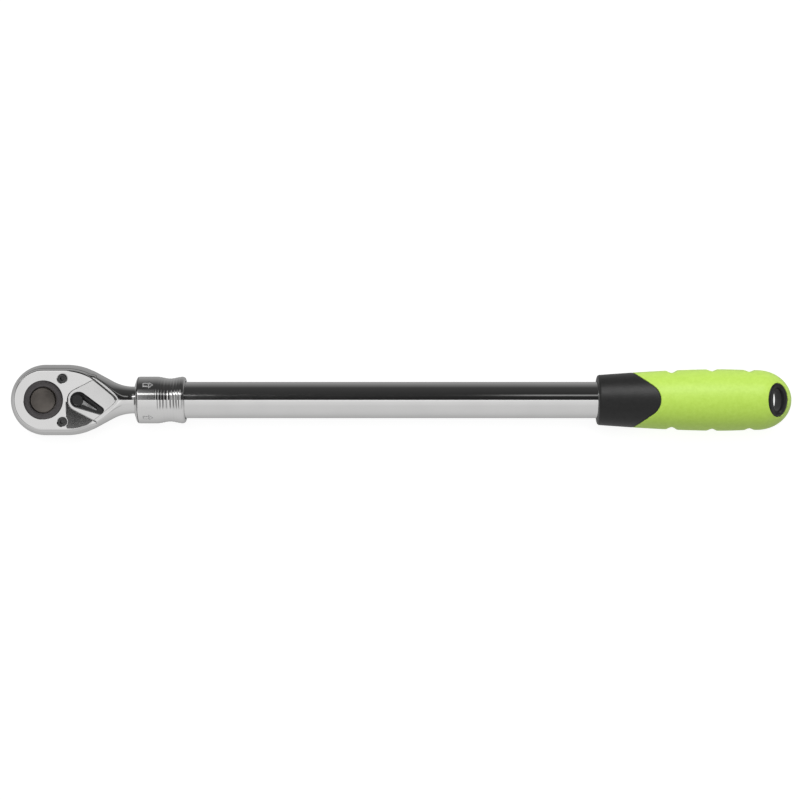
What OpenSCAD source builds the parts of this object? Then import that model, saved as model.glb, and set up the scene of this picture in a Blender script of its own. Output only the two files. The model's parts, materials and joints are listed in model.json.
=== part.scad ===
// Telescopic ratchet wrench with a half-inch square drive.
// X runs from the head to the grip, Z is the drive axis, and the origin is the middle of the
// drive square's end face. The grip lies along +X at the height axis_z. At rest the wrench is closed.

/* [Drive] */
// Side of the drive square
square_w = 12.7; // [12.6:0.05:12.75]
// Length of the drive square below its shoulder
square_len = 13.6; // [13:0.1:14]
// Radius over the ratchet teeth
gear_r = 14.3; // [14:0.05:14.4]
// Depth of a ratchet tooth
tooth_depth = 0.7; // [0.5:0.05:0.8]
// Number of ratchet teeth, a multiple of 12
teeth = 72; // [48, 60, 72, 84]
// Radius of the gear's boss, which shows through the cover
boss_r = 11.43; // [11:0.01:11.6]
// Radius of the gear's journal in the back of the head
journal_r = 10.5; // [10:0.1:10.8]
// Radius of the release button's top
button_r = 7.45; // [7:0.05:7.6]
// Travel of the release button
button_travel = 3; // [2:0.5:3]
// Radius of the detent and lock balls
ball_r = 2.38; // [2.3:0.01:2.4]

/* [Head] */
// Radius of the head's round end
head_r = 21.3; // [21:0.1:22]
// Thickness of the head
head_t = 19.5; // [19:0.1:20]
// How far each flat face lies inside the head's outline
face_inset = 3.5; // [3:0.1:4]
// Length of the head's parallel sides
side_len = 12.6; // [11:0.1:13]
// Radius of the convex shoulder behind the parallel sides
shoulder_r = 37.5; // [36:0.5:40]
// Radius of the hollow curve that runs into the neck
throat_r = 26.6; // [25:0.1:28]
// Where each flat face comes to its point
prow_x = 43.3; // [42:0.1:44]
// Radius of the neck
neck_r = 8.1; // [8.1:0.05:8.2]
// Thickness of the cover plate
cover_t = 2.8; // [2.6:0.1:3]
// Distance of the lever's axis from the drive axis
lever_x = 21.2; // [21:0.1:21.4]
// Angle of the lever to each side of the wrench's axis
lever_angle = 26.5; // [25:0.5:28]
// Angle that the pawl rocks to each side
pawl_angle = 5; // [5:0.1:5.2]

/* [Extension] */
// Width across the flats of the sliding bar
bar_af = 14; // [13.9:0.05:14.05]
// Distance between two lock positions
notch_pitch = 25; // [20:1:25]
// Number of lock positions
notches = 7; // [3:1:7]
// Travel of the release collar
collar_travel = 6; // [5:0.5:6]
// Outside radius of the tube
tube_r = 11; // [10.95:0.01:11.05]
// Inside radius of the tube
tube_bore = 9.2; // [9.2:0.05:9.4]
// Radius of the release collar
collar_r = 14.13; // [14:0.01:14.5]

/* [Grip] */
// Where the grip starts
grip_x0 = 333.3; // [330:0.1:336]
// Largest radius of the grip
grip_r = 18.6; // [18.4:0.1:19]
// Where the grip is fattest
grip_fat_x = 408; // [405:1:410]
// End of the grip
grip_x1 = 450.6; // [449:0.1:452]
// Middle of the hanging hole
hang_x = 440.2; // [439:0.1:441]

/* [Hidden] */
$fn = 64;
eps = 0.01;

// Heights
shoulder_z = square_len;
back_z = 14;                          // back face of the head
face_z = back_z + head_t;             // front face of the head
axis_z = back_z + head_t / 2;         // axis of the neck, tube and grip
cover_z = face_z - cover_t;           // underside of the cover plate
pocket_z = 17.4;                      // floor of the gear pocket
gear_z0 = pocket_z + 0.1;
gear_z1 = cover_z - 0.3;
boss_z = face_z + 0.4;
pocket_r = gear_r + 0.45;

// Head outline: two arcs joined by their common tangent
outline_dx = 53.2 - side_len;
outline_dy = head_r - neck_r;
arc_sum = shoulder_r + throat_r;
shoulder_angle = atan2(outline_dx, arc_sum - outline_dy)
    - acos(arc_sum / norm([outline_dx, arc_sum - outline_dy]));
throat_x = side_len + outline_dx;
neck_x1 = 55;                         // the neck's end
flare_x0 = 30.6;                      // where the shoulder turns into the neck's flare
flare_r0 = 16.65;
shelf_h = 8.9;                        // half height of the flare beside the prow
side_bulge_r = (pow(face_inset, 2) + pow(head_t / 2, 2)) / (2 * face_inset);

// Cover screws
screw_x = 11.4;
screw_y = 13;
screw_head_r = 2.85;
screw_r = 1.5;
screw_z0 = 21.7;

// Wedge of the head's front face that carries the lever, and the end of the plate beside it
cover_end = 31.6;
pad_r = 6.7;
pad_angle = 27.6;

// Lever and pawl
stem_r = 3.6;
stem_neck_r = 4.3;                    // the stem's upper part, in the pad
clip_z = 29.55;
pawl_z0 = pocket_z + 0.2;
pawl_z1 = clip_z - 0.2;
plunger_z = 23.5;
plunger_r = 1.25;
plunger_tip = 4.5;
pawl_pocket_r = 19.8;
pawl_back_r = 17.8;                   // radius of the pawl's back, round the gear
pawl_reach = 38.5;                    // half the angle that the pawl spans round the gear
pawl_scoop = 25;                      // half the angle between its two toothed ends

// Release button and detent ball
button_z = face_z + 1.1;
button_bore_r = 8.15;
detent_z = 6.5;
detent_y = square_w / 2 + 0.9 - ball_r;
detent_slope = 1 / 3;                 // the ball's travel for each unit of the button's
stem_ramp_r = detent_y - (ball_r + 0.03) * norm([1, detent_slope]);
button_stem_r = 2.85;
button_stem_z = 5;
button_skirt_z = 31;                  // the button's guiding skirt, from here
button_step_z = 32.3;                 // to here
button_seat_z = 27.6;                 // floor of the button's bore in the gear
stem_seat_z = 1.8;                    // floor of the stem's bore
spring_seat_z = 20;                   // floor of the spring's bore
spring_bore_r = 5.2;
square_corner_r = 8.4;                // over the drive square's rounded corners
square_tip_r = 7.1;                   // the same at its chamfered tip

// Lock
ball_x = 65.5;
lock_y = 8.02;                        // distance of a locked ball's middle from the axis
land_r = 10.62;
cage_r = 10.5;
recess_r = 11.95;
chamber_r = 11.45;
cap_x0 = 54.3;
cap_x1 = 56.4;
cap_bore_r = 9.41;                    // fits over the cage's end
cap_floor_x = 55.28;                  // the cap's floor, which stops on the cage
cap_eye_r = 8.35;                     // the hole that the neck slides through
collar_x0 = 56.6;
collar_x1 = 84.6;
arrow_x = 62.9;                       // middle of the arrows on the collar
tube_x0 = 80;
tube_x1 = 425;
cage_x1 = 94;
bar_x1 = cage_x1 + notch_pitch * (notches - 1) + 0.6;
bush_len = 12;

// Grip
core_r = 13.2;
dome_len = 20.6;
dome_x = grip_x1 - dome_len;
dome_r = grip_r - 0.5;
hang_hole = [6.4, 14.3];
hang_rim = [12.7, 20.1];
tongue_x = 369.9;                     // tip of the black nose's tongue
tongue_r = 10.6;
tongue_angle = 54.1;
scallops = [378.2, 402.6, 425.2];     // small hollows along both sides
scallop_r = 3.3;

// Turns a shape drawn round Z so that it lies round the handle's axis, with z as x
module on_axis() {
    translate([0, 0, axis_z]) rotate([0, 90, 0]) children();
}

// A solid of revolution about the handle's axis, from points [x, radius]
module turned(points) {
    on_axis() rotate_extrude($fn = 96) polygon([for (p = points) [p[1], p[0]]]);
}

function arc(cx, cy, r, a0, a1, n) =
    [for (i = [0:n]) let (a = a0 + (a1 - a0) * i / n) [cx + r * cos(a), cy + r * sin(a)]];

function bezier(a, b, c, d, n) =
    [for (i = [0:n]) let (t = i / n, s = 1 - t)
        s * s * s * a + 3 * s * s * t * b + 3 * s * t * t * c + t * t * t * d];

function oval(size, n) =
    [for (i = [0:n - 1]) let (a = 360 * i / n) [size[0] / 2 * cos(a), size[1] / 2 * sin(a)]];

// ---- Head ----

// Half of the head's outline, shrunk by d, from the round end to the shoulder
function half_outline(d) = concat(
    arc(0, 0, head_r - d, 180, 90, 16),
    arc(side_len, head_r - shoulder_r, shoulder_r - d, 90, 90 - shoulder_angle, 6));

function mirrored(points) =
    concat(points, [for (i = [len(points) - 1:-1:1]) [points[i][0], -points[i][1]]]);

// One level of the head's side, h above its middle
module head_layer(h) {
    inset = side_bulge_r - sqrt(pow(side_bulge_r, 2) - h * h);
    prow = abs(h) > head_t / 2 - 0.1 ? [[prow_x, 0]] : [];
    translate([0, 0, axis_z + h - sign(h) * eps / 2])
        linear_extrude(eps, center = true)
            polygon(mirrored(concat(half_outline(inset), prow)));
}

// The neck's flare, as a turned solid
function throat_points() = concat(
    [[flare_x0, 0], [flare_x0, flare_r0]],
    [for (i = [0:7]) let (a = shoulder_angle * (1 - i / 7))
        [throat_x - throat_r * sin(a), neck_r + throat_r * (1 - cos(a))]],
    [[neck_x1, neck_r], [neck_x1, 0]]);

// The forging before it is machined
module head_blank() {
    hull() for (i = [-3:3]) head_layer(i / 3 * head_t / 2);
    intersection() {
        turned(throat_points());
        translate([20, -25, axis_z - shelf_h]) cube([40, 50, 2 * shelf_h]);
    }
}

// The lever's pad seen from above: a round nose that opens towards the neck
module pad_outline(gap) {
    far = 40;
    polygon(concat(
        arc(lever_x, 0, pad_r + gap, 90 + pad_angle, 270 - pad_angle, 16),
        [[lever_x + far, -(pad_r + gap) / cos(pad_angle) - far * tan(pad_angle)],
         [lever_x + far, (pad_r + gap) / cos(pad_angle) + far * tan(pad_angle)]]));
}

module above_cover() {
    difference() {
        translate([-30, -30, cover_z]) cube([cover_end + 30.1, 60, 10]);
        translate([0, 0, cover_z - 1]) linear_extrude(12) pad_outline(0);
    }
}

module at_screws() {
    for (s = [-1, 1]) translate([screw_x, s * screw_y, 0]) children();
}

module pawl_pocket() {
    translate([0, 0, pocket_z])
        linear_extrude(cover_z - 0.2 - pocket_z)
            polygon(concat([[4, 0]], arc(0, 0, pawl_pocket_r, -42, 42, 12)));
    translate([lever_x, 0, pocket_z]) cylinder(r = 5.5, h = cover_z - 0.2 - pocket_z);
}

module head_body() {
    color("gainsboro") difference() {
        head_blank();
        above_cover();
        translate([0, 0, pocket_z]) cylinder(r = pocket_r, h = 30);
        translate([0, 0, 5]) cylinder(r = journal_r + 0.05, h = 20);
        pawl_pocket();
        translate([lever_x, 0, 15.2]) cylinder(r = stem_r + 0.05, h = 10);
        translate([lever_x, 0, 25]) cylinder(r = stem_neck_r + 0.08, h = 12);
        at_screws() translate([0, 0, screw_z0]) cylinder(r = screw_r, h = 20, $fn = 32);
        on_axis() translate([0, 0, 41.5]) cylinder(r = 5.01, h = 20);
    }
}

module cover_plate() {
    color("whitesmoke") difference() {
        intersection() {
            head_blank();
            translate([-30, -30, cover_z]) cube([cover_end + 30, 60, cover_t + 1]);
        }
        translate([0, 0, cover_z - 1]) linear_extrude(12) pad_outline(0.12);
        translate([0, 0, cover_z - 1]) cylinder(r = boss_r + 0.12, h = 10);
        at_screws() {
            translate([0, 0, cover_z - 1]) cylinder(r = screw_r + 0.1, h = 10, $fn = 32);
            translate([0, 0, face_z - 1.45]) cylinder(r1 = screw_r + 0.1, r2 = 3.05, h = 1.46);
        }
    }
}

module cover_screws() {
    color("dimgray") at_screws() difference() {
        union() {
            translate([0, 0, screw_z0 + 0.5])
                cylinder(r = screw_r - 0.02, h = face_z - screw_z0 - 1, $fn = 32);
            translate([0, 0, face_z - 1.45]) cylinder(r1 = screw_r - 0.02, r2 = screw_head_r, h = 1.4);
        }
        translate([0, 0, face_z - 1.3]) cylinder(r = 1.35, h = 3, $fn = 6);
    }
}

// ---- Drive ----

// Ratchet teeth round the origin, with a gap on the +X axis, from tooth a to tooth b
function tooth_points(tip, root, a, b) =
    [for (i = [a:b - 1]) let (p = 360 / teeth) each [
        [root * cos((i + 0.08) * p), root * sin((i + 0.08) * p)],
        [tip * cos((i + 0.42) * p), tip * sin((i + 0.42) * p)],
        [tip * cos((i + 0.58) * p), tip * sin((i + 0.58) * p)],
        [root * cos((i + 0.92) * p), root * sin((i + 0.92) * p)]]];

module drive_gear() {
    color("slategray") difference() {
        union() {
            translate([0, 0, gear_z0]) linear_extrude(gear_z1 - gear_z0)
                polygon(tooth_points(gear_r, gear_r - tooth_depth, 0, teeth));
            translate([0, 0, shoulder_z]) cylinder(r = journal_r, h = gear_z0 - shoulder_z + 1);
            translate([0, 0, gear_z1 - 1]) cylinder(r = boss_r, h = boss_z - gear_z1 + 1);
            intersection() {
                translate([-square_w / 2, -square_w / 2, 0])
                    cube([square_w, square_w, shoulder_z + 1]);
                union() {
                    cylinder(r1 = square_tip_r, r2 = square_corner_r, h = 1.3);
                    translate([0, 0, 1.3]) cylinder(r = square_corner_r, h = shoulder_z);
                }
            }
        }
        translate([0, 0, stem_seat_z]) cylinder(r = button_stem_r + 0.1, h = 30);
        translate([0, 0, spring_seat_z]) cylinder(r = spring_bore_r, h = 20);
        translate([0, 0, button_seat_z]) cylinder(r = button_bore_r, h = 20);
        detent_hole();
    }
}

// The hole for the detent ball narrows at its mouth, which keeps the ball in
module detent_hole() {
    translate([0, 0, detent_z]) rotate([90, 0, 0]) {
        cylinder(r = ball_r + 0.07, h = square_w / 2 - 0.35);
        translate([0, 0, square_w / 2 - 0.35 - eps])
            cylinder(r1 = ball_r + 0.07, r2 = ball_r - 0.33, h = 0.35 + 2 * eps);
    }
}

module release_button() {
    ramp_end = detent_z + button_travel;
    thin_r = stem_ramp_r - button_travel * detent_slope;
    color("rosybrown") rotate_extrude() polygon(concat(
        [[0, button_stem_z],
         [stem_ramp_r + (detent_z - button_stem_z) * detent_slope, button_stem_z],
         [thin_r, ramp_end],
         [thin_r, ramp_end + 3],
         [button_stem_r, ramp_end + 3 + button_stem_r - thin_r],
         [button_stem_r, button_skirt_z],
         [button_bore_r - 0.1, button_skirt_z],
         [button_bore_r - 0.1, button_step_z],
         [button_r, button_step_z]],
        arc(button_r - 0.6, button_z - 0.6, 0.6, 0, 80, 4),
        [[0, button_z + 0.15]]));
}

module detent_ball() {
    color("silver") translate([0, -detent_y, detent_z]) sphere(r = ball_r);
}

// ---- Coil springs ----

// A helix of round wire round +Z, from z = 0 to z = length over the wire's middle
module coil(radius, wire, length, turns, steps = 14, sides = 8) {
    n = ceil(turns * steps);
    rings = [for (i = [0:n]) let (a = 360 * turns * i / n, z = length * i / n)
        [for (k = [0:sides - 1]) let (b = 360 * k / sides)
            [(radius + wire / 2 * cos(b)) * cos(a), (radius + wire / 2 * cos(b)) * sin(a),
             z + wire / 2 * sin(b)]]];
    polyhedron(
        points = [for (r = rings) each r],
        faces = concat(
            [[for (k = [0:sides - 1]) k]],
            [for (i = [0:n - 1], k = [0:sides - 1]) let (a = i * sides + k, b = i * sides + (k + 1) % sides)
                each [[a, a + sides, b], [b, a + sides, b + sides]]],
            [[for (k = [sides - 1:-1:0]) n * sides + k]]),
        convexity = 8);
}

module release_spring() {
    color("silver") translate([0, 0, 20.6]) coil(4.1, 0.9, 9.9, 5.5, 16);
}

module pawl_spring() {
    color("silver") at_plunger() translate([0, 0, -2.35]) coil(0.85, 0.35, 3.6, 5, 12, 6);
}

module collar_spring() {
    color("silver") on_axis() translate([0, 0, ball_x + 3 + 0.5]) coil(11.02, 0.78, 10.5, 4, 24);
}

// ---- Pawl and lever ----

// Gear teeth seen from the pawl when it stands level, for the end that s names
module gear_from_pawl(s) {
    side = teeth / 6;
    translate([lever_x, 0, 0]) rotate(-s * pawl_angle) translate([-lever_x, 0, 0])
        linear_extrude(40) polygon(concat([[0, 0]],
            tooth_points(gear_r + 0.07, gear_r + 0.07 - tooth_depth,
                         s > 0 ? 0 : -side, s > 0 ? side : 0)));
}

// The pawl standing level, with neither end in mesh
module level_pawl() {
    difference() {
        translate([0, 0, pawl_z0]) linear_extrude(pawl_z1 - pawl_z0) polygon(concat(
            arc(0, 0, pawl_back_r, -pawl_reach, pawl_reach, 12),
            arc(0, 0, 13, pawl_reach, -pawl_reach, 12)));
        for (s = [-1, 1]) gear_from_pawl(s);
        linear_extrude(40) polygon(concat([[0, 0]], arc(0, 0, 15.1, -pawl_scoop, pawl_scoop, 10)));
        translate([lever_x, 0, 0]) cylinder(r = stem_r + 0.1, h = 40);
        translate([lever_x, 0, plunger_z - 1.7]) {
            cylinder(r = plunger_tip + 0.15, h = 3.4);
            for (s = [-1, 1]) rotate(180 + s * (lever_angle + pawl_angle))
                translate([plunger_tip + 0.45 - 1.5, 0, 0]) cylinder(r = 1.5, h = 3.4);
        }
    }
}

module pawl() {
    color("gray") translate([lever_x, 0, 0]) rotate(pawl_angle) translate([-lever_x, 0, 0])
        level_pawl();
}

// Places a shape drawn along +Z on the plunger's axis in the lever's stem
module at_plunger() {
    translate([lever_x, 0, plunger_z]) rotate([0, 0, 180 - lever_angle]) rotate([0, 90, 0])
        children();
}

module pawl_plunger() {
    color("silver") at_plunger() rotate_extrude($fn = 32) polygon(concat(
        [[0, 1.5], [plunger_r - 0.05, 1.5], [plunger_r - 0.05, plunger_tip - 0.9]],
        [for (i = [1:6]) let (a = 15 * i)
            [(plunger_r - 0.05) * cos(a), plunger_tip - 0.9 + 0.9 * sin(a)]]));
}

// The lever as seen from above, pointing along +X from its own axis
module lever_blade(h, shrink) {
    hull() {
        cylinder(r = 5.2 - shrink, h = h, $fn = 48);
        for (s = [-1, 1]) translate([14.4, s * 0.75, 0]) cylinder(r = 2.15 - shrink, h = h, $fn = 32);
    }
}

module reverse_lever() {
    blade_z = face_z + 0.1;
    color("#202020") translate([lever_x, 0, 0]) difference() {
        rotate(-lever_angle) {
            translate([0, 0, blade_z]) lever_blade(1.7, 0);
            translate([0, 0, blade_z + 1.7]) hull() {
                linear_extrude(eps) translate([2, -1.7]) square([12, 3.4]);
                translate([2, -0.5, 0]) cube([11, 1, 1.9]);
            }
            translate([0, 0, blade_z + 1.6]) cylinder(r = 3.35, h = 2, $fn = 48);
            translate([0, 0, cover_z - 0.1]) cylinder(r = stem_neck_r, h = cover_t + 0.3);
            translate([0, 0, 15.4]) cylinder(r = stem_r, h = cover_z - 15.4);
        }
        translate([0, 0, plunger_z]) rotate([0, 0, 180 - lever_angle]) rotate([0, 90, 0])
            translate([0, 0, -2.6]) cylinder(r = plunger_r, h = 10, $fn = 32);
        translate([0, 0, clip_z - 0.05]) ring(stem_r - 0.5, stem_r + 2, 0.9);
        translate([0, 0, face_z - 1.7]) ring(stem_neck_r - 0.7, stem_neck_r + 2, 1.2);
    }
}

module ring(r0, r1, h) {
    difference() {
        cylinder(r = r1, h = h);
        translate([0, 0, -1]) cylinder(r = r0, h = h + 2);
    }
}

module lever_seal() {
    color("#101010") translate([lever_x, 0, face_z - 1.1])
        rotate_extrude() translate([stem_neck_r - 0.27, 0]) circle(r = 0.34, $fn = 24);
}

module lever_clip() {
    color("silver") translate([lever_x, 0, clip_z]) difference() {
        ring(stem_r - 0.45, 5.2, 0.8);
        rotate(-lever_angle) translate([0, -1.5, -1]) cube([8, 3, 3]);
    }
}

// ---- Sliding bar ----

module hexagon(af, x0, x1) {
    on_axis() rotate(30) translate([0, 0, x0]) cylinder(r = af / 2 / cos(30), h = x1 - x0, $fn = 6);
}

module extension_bar() {
    color("gainsboro") difference() {
        union() {
            hexagon(bar_af, neck_x1, bar_x1);
            on_axis() translate([0, 0, 42]) cylinder(r = 5, h = 20);
            on_axis() translate([0, 0, bar_x1 - 1]) cylinder(r = 5.5, h = bush_len + 1);
        }
        for (i = [0:notches - 1], a = [0, 120, 240])
            translate([0, 0, axis_z]) rotate([a, 0, 0])
                translate([ball_x + notch_pitch * i, 0, lock_y]) sphere(r = ball_r + 0.04);
        on_axis() translate([0, 0, bar_x1 + bush_len - 14]) cylinder(r = 2, h = 20, $fn = 32);
    }
}

module stop_bush() {
    color("ivory") on_axis() translate([0, 0, bar_x1 + 0.02]) difference() {
        cylinder(r = tube_bore - 0.08, h = bush_len);
        translate([0, 0, -1]) cylinder(r = 5.51, h = bush_len + 2);
    }
}

module stop_screw() {
    color("dimgray") on_axis() translate([0, 0, bar_x1 + bush_len + 0.04]) difference() {
        union() {
            cylinder(r = 7.2, h = 2.6);
            translate([0, 0, -12]) cylinder(r = 1.98, h = 13, $fn = 32);
        }
        translate([0, 0, 0.9]) cylinder(r = 1.7, h = 3, $fn = 6);
    }
}

// ---- Tube and lock ----

module outer_tube() {
    color("gainsboro") turned([
        [tube_x0, tube_bore], [tube_x0, tube_r - 0.3], [tube_x0 + 0.3, tube_r],
        [tube_x1, tube_r], [tube_x1, tube_bore]]);
}

module lock_cage() {
    color("silver") difference() {
        turned([
            [55.3, 0], [55.3, 9.4], [57, 9.4], [57, cage_r], [tube_x0 - 0.02, cage_r],
            [tube_x0 - 0.02, tube_bore - 0.01], [cage_x1, tube_bore - 0.01], [cage_x1, 0]]);
        hexagon(bar_af + 0.2, 50, 100);
        for (a = [0, 120, 240]) translate([ball_x, 0, axis_z]) rotate([a, 0, 0])
            cylinder(r = ball_r + 0.05, h = 15, $fn = 48);
    }
}

module nose_cap() {
    color("gainsboro") turned([
        [cap_x0, cap_eye_r], [cap_x0 + 0.15, 9.4], [cap_x0 + 0.75, 11.7], [cap_x0 + 1.45, 13.4],
        [cap_x1 - 0.25, collar_r - 0.1], [cap_x1, collar_r - 0.3], [cap_x1, cap_bore_r],
        [cap_floor_x, cap_bore_r], [cap_floor_x, cap_eye_r]]);
}

// The collar's outside: a plain band, then a finger waist with fine rings
waist_x0 = 67.4;
waist_x1 = 83;
ring_pitch = (waist_x1 - waist_x0) / 9;
function waist_r(x) = collar_r - 0.54 * (1 - cos(360 * (x - waist_x0) / (waist_x1 - waist_x0)));
function collar_outline() = concat(
    [[collar_x0, collar_r - 0.3], [collar_x0 + 0.25, collar_r], [waist_x0, collar_r]],
    [for (i = [0:8]) let (x = waist_x0 + ring_pitch * i) each [
        [x + ring_pitch * 0.25, waist_r(x) - 0.22],
        [x + ring_pitch * 0.7, waist_r(x + ring_pitch)]]],
    [[waist_x1 + 0.5, collar_r - 0.2], [collar_x1 - 0.1, 12.7], [collar_x1, 12.4]]);

// A block arrow that points along +X, centred, w long
function arrow_points(w, h) = [
    [-w / 2, -h / 4], [w * 0.12, -h / 4], [w * 0.12, -h / 2], [w / 2, 0],
    [w * 0.12, h / 2], [w * 0.12, h / 4], [-w / 2, h / 4]];

// The engraved outlines that show which way the collar slides
module collar_arrows() {
    for (a = [0:3]) translate([arrow_x, 0, axis_z]) rotate([-40 + 90 * a, 0, 0])
        translate([0, 0, collar_r - 0.22]) linear_extrude(2) difference() {
            polygon(arrow_points(6.6, 5));
            polygon(arrow_points(4.8, 3.2));
        }
}

module release_collar() {
    land_x0 = ball_x - 0.5;
    land_x1 = ball_x + 3;
    color("gainsboro") difference() {
        turned(concat(collar_outline(), [
            [collar_x1, chamber_r], [land_x1, chamber_r], [land_x1, land_r], [land_x0, land_r],
            [land_x0 - (recess_r - land_r), recess_r], [collar_x0, recess_r]]));
        collar_arrows();
    }
}

module lock_ball(a) {
    color("silver") translate([0, 0, axis_z]) rotate([a, 0, 0])
        translate([ball_x, 0, lock_y]) sphere(r = ball_r);
}

// ---- Grip ----

// The grip's outside, as points [x, radius]
function grip_outline() = concat(
    [[grip_x0 + 0.3, 12.2], [grip_x0, 12.6], [grip_x0, 14.1], [grip_x0 + 0.4, 14.8]],
    bezier([grip_x0 + 1.4, 15.2], [360, 17.1], [385, grip_r], [grip_fat_x, grip_r], 8),
    [for (i = [1:3]) let (t = i / 4) [grip_fat_x + (dome_x - grip_fat_x) * t, grip_r - 0.5 * t * t]],
    [for (i = [0:8]) let (a = 10 * i) [dome_x + dome_len * sin(a), dome_r * cos(a)]],
    [[grip_x1, 0]]);

module grip_solid() {
    difference() {
        turned(concat([[grip_x0 + 0.3, 0]], grip_outline()));
        for (x = scallops, s = [-1, 1])
            translate([x, s * (grip_r + 2.3 - 0.0012 * pow(x - grip_fat_x, 2)), 0])
                cylinder(r = scallop_r, h = 60);
    }
}

module core_solid(extra) {
    turned([[grip_x0 - 1, 0], [grip_x0 - 1, core_r + extra], [dome_x, core_r + extra],
            [dome_x + 8, core_r - 2 + extra], [dome_x + 13, core_r - 6 + extra],
            [dome_x + 15, 0]]);
}

module hang_prism(size) {
    translate([hang_x, 0, 0]) linear_extrude(60) polygon(oval(size, 36));
}

// Everything in front of the line where black meets green
module nose_region() {
    edge = [tongue_x - tongue_r * (1 - cos(tongue_angle)), tongue_r * sin(tongue_angle)];
    run = [sin(tongue_angle), -cos(tongue_angle)];
    outer = edge - 14 * run;
    linear_extrude(60) polygon(concat(
        [[outer[0], -outer[1]]],
        arc(tongue_x - tongue_r, 0, tongue_r, -tongue_angle, tongue_angle, 14),
        [outer, [300, 30], [300, -30]]));
}

module grip_core() {
    color("#303030") difference() {
        union() {
            intersection() {
                core_solid(0);
                translate([grip_x0 + 2, -30, 0]) cube([200, 60, 60]);
            }
            intersection() {
                grip_solid();
                hang_prism(hang_rim);
            }
        }
        on_axis() translate([0, 0, 300]) cylinder(r = tube_r + 0.01, h = tube_x1 + 0.1 - 300);
        hang_prism(hang_hole);
    }
}

module grip_nose() {
    color("#383838") difference() {
        intersection() {
            grip_solid();
            nose_region();
        }
        intersection() {
            core_solid(0.01);
            translate([grip_x0 + 1.99, -30, 0]) cube([200, 60, 60]);
        }
        on_axis() translate([0, 0, 300]) cylinder(r = tube_r + 0.02, h = 100);
    }
}

module grip_sleeve() {
    color("yellowgreen") difference() {
        grip_solid();
        core_solid(0.01);
        nose_region();
        hang_prism([hang_rim[0] + 0.02, hang_rim[1] + 0.02]);
    }
}

head_body();
cover_plate();
cover_screws();
drive_gear();
release_button();
release_spring();
detent_ball();
pawl();
pawl_plunger();
pawl_spring();
reverse_lever();
lever_seal();
lever_clip();
extension_bar();
stop_bush();
stop_screw();
outer_tube();
lock_cage();
nose_cap();
release_collar();
collar_spring();
lock_ball(0);  // lock_ball_1
lock_ball(120);  // lock_ball_2
lock_ball(240);  // lock_ball_3
grip_core();
grip_nose();
grip_sleeve();
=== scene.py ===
"""Looks, floor, light and camera for the telescopic ratchet wrench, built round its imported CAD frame.

Shapes are worked out in millimetres in the row frame and turned into metres when a mesh is made.
"""
import json
import math

import bmesh
import bpy
import numpy as np
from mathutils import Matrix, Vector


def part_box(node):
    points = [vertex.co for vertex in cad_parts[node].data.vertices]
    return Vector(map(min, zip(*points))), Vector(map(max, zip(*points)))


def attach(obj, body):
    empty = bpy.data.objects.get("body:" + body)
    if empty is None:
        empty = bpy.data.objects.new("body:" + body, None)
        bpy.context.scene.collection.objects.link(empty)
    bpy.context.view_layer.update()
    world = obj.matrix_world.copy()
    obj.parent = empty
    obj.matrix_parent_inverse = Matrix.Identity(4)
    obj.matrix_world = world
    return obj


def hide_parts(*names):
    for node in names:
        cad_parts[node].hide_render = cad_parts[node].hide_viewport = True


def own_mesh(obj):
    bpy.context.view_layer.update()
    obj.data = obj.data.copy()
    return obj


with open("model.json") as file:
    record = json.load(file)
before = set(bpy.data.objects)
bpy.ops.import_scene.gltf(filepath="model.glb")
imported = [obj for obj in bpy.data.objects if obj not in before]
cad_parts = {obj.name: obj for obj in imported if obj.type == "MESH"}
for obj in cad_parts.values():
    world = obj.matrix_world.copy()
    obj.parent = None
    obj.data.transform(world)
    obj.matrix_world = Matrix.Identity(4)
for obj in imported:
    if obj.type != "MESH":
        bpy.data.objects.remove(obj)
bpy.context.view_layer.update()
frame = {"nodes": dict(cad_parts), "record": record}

MM = 0.001


def node_box(node):
    """Lowest and highest corner of a CAD node, in millimetres."""
    low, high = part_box(node)
    return np.array(low) / MM, np.array(high) / MM


# ---- Sizes, read from the frame where a box gives them ----

head_low, head_high = node_box("head_body")
cover_low, cover_high = node_box("cover_plate")
tube_low, tube_high = node_box("outer_tube")
collar_low, collar_high = node_box("release_collar")
cap_low, cap_high = node_box("nose_cap")
nose_low, _ = node_box("grip_nose")
_, sleeve_high = node_box("grip_sleeve")
lever_clip_low, lever_clip_high = node_box("lever_clip")
screw_low, screw_high = node_box("cover_screws")

AXIS_Z = (tube_low[2] + tube_high[2]) / 2
TUBE_R = (tube_high[1] - tube_low[1]) / 2
HEAD_R = head_high[1]
HEAD_T = cover_high[2] - head_low[2]
FACE_Z = cover_high[2]
COVER_Z = cover_low[2]
COLLAR_R = collar_high[1]
GRIP_R = sleeve_high[1]
SCREW_FOOT = screw_low[2]
SCREW_TOP = screw_high[2]
LEVER_X = (lever_clip_low[0] + lever_clip_high[0]) / 2

# The head from above: a round end, a shoulder arc, a straight taper, a throat arc and the neck.
FACE_INSET = 3.5
INSET_POWER = 1.3
SIDE_LEN = 12.6
SHOULDER_R = 37.5
THROAT_R = 26.6
THROAT_X = 53.2
NECK_R = 8.1
SHOULDER_Y = HEAD_R - SHOULDER_R
THROAT_Y = NECK_R + THROAT_R
APART = math.hypot(THROAT_X - SIDE_LEN, THROAT_Y - SHOULDER_Y)
TAPER = (math.atan2(THROAT_X - SIDE_LEN, THROAT_Y - SHOULDER_Y)
         - math.acos((SHOULDER_R + THROAT_R) / APART))
TAPER_START = (SIDE_LEN + SHOULDER_R * math.sin(TAPER), SHOULDER_Y + SHOULDER_R * math.cos(TAPER))
TAPER_END = (THROAT_X - THROAT_R * math.sin(TAPER), THROAT_Y - THROAT_R * math.cos(TAPER))

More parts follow.
